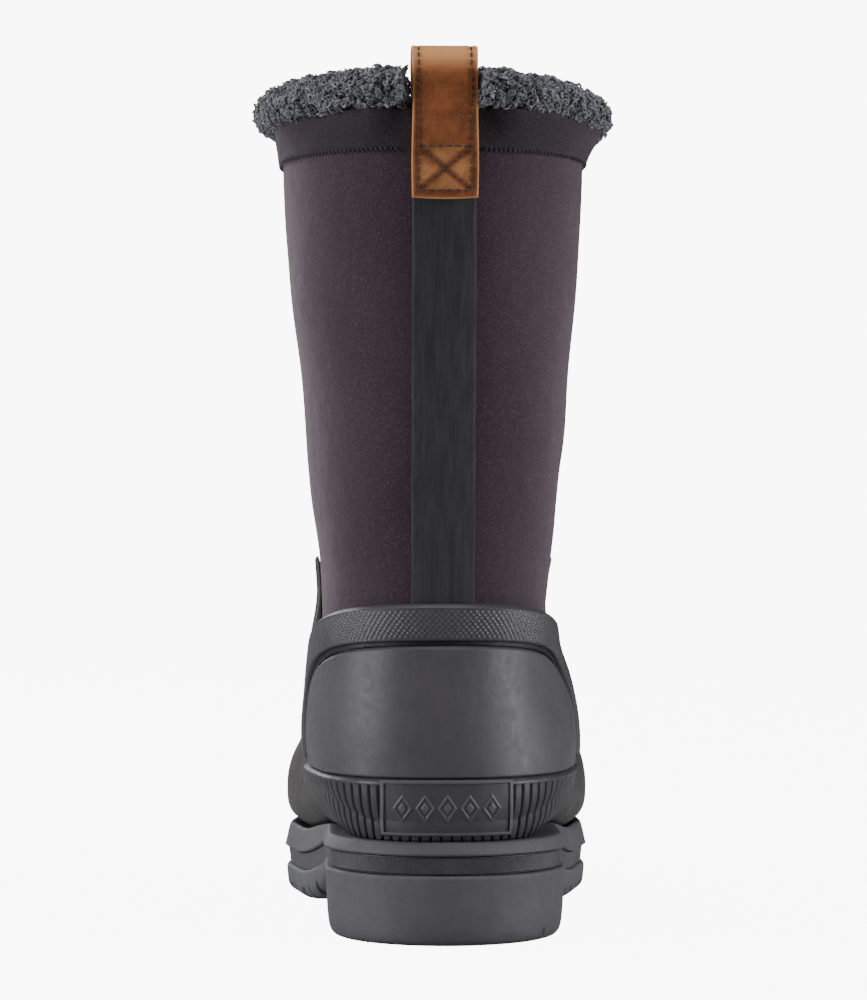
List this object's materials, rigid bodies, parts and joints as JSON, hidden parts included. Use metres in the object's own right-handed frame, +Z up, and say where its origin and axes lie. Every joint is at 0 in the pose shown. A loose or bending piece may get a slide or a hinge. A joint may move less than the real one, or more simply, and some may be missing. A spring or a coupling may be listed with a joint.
{
  "type": "winter boot",
  "caption": "Fleece-lined mid-calf winter boot for the left foot, with a moulded rubber foot, a neoprene shaft, a lugged sole and a leather pull tab at the back.",
  "frame": {"origin": "on the ground under the middle of the heel block, on its centre line", "axes": "+Z up, +Y towards the toe, +X towards the inner side of the left foot"},
  "size_m": [0.1182, 0.2831, 0.282],
  "materials": {
    "heel_rubber": "matt, fine moulded grain",
    "tread_rubber": "matt",
    "rand_rubber": "matt, cross-hatched",
    "welt_rubber": "matt",
    "shell_rubber": "satin",
    "overlay_rubber": "satin",
    "counter_rubber": "satin",
    "collar_rubber": "satin, cross-hatched",
    "foxing_rubber": "satin, ribbed",
    "label_rubber": "matt, blank",
    "gasket": "matt",
    "neoprene": "fine knit facing",
    "cuff": "fine knit facing",
    "fleece": "curled pile",
    "lining_pile": "short pile",
    "strip_rubber": "satin tape",
    "tab_leather": "oiled suede",
    "tab_thread": "twisted thread",
    "cuff_thread": "twisted thread",
    "board": "pressed fibre",
    "foam": "open-cell foam",
    "bed_cover": "felted pile",
    "shank_steel": "rolled strip",
    "stiffener": "stiffened fibre"
  },
  "bodies": {
    "foot": {"heel_block": "heel_rubber", "forefoot_tread": "tread_rubber", "textured_rand": "rand_rubber", "welt": "welt_rubber", "shank": "shank_steel", "insole_board": "board", "footbed": "foam", "footbed_cover": "bed_cover", "foot_lining": "lining_pile", "ankle_neoprene": "neoprene", "heel_stiffener": "stiffener", "toe_puff": "stiffener", "foot_shell": "shell_rubber", "toe_bumper": "collar_rubber", "instep_overlay": "overlay_rubber", "overlay_piping": "overlay_rubber", "ribbed_foxing": "foxing_rubber", "label_plate": "label_rubber", "heel_counter": "counter_rubber", "counter_gasket": "gasket", "counter_collar": "collar_rubber"},
    "shaft": {"shaft_neoprene": "neoprene", "shaft_lining": "lining_pile", "back_strip": "strip_rubber", "cuff_band": "cuff", "cuff_stitches": "cuff_thread", "fleece_trim": "fleece", "pull_tab_anchor": "tab_leather", "pull_tab_stitches": "tab_thread"},
    "pull_loop": {"pull_tab_loop": "tab_leather"}
  },
  "joints": [
    {"name": "ankle_flex", "type": "hinge", "parent": "foot", "child": "shaft", "pos_m": [0, 0.031, 0.085], "axis": [-1, 0, 0], "range_deg": [-4, 20], "stiffness_Nm_per_rad": 6},
    {"name": "pull_tab_tip", "type": "hinge", "parent": "shaft", "child": "pull_loop", "pos_m": [0, -0.0384, 0.2639], "axis": [1, 0, 0], "range_deg": [-12, 12], "stiffness_Nm_per_rad": 0.05}
  ]
}
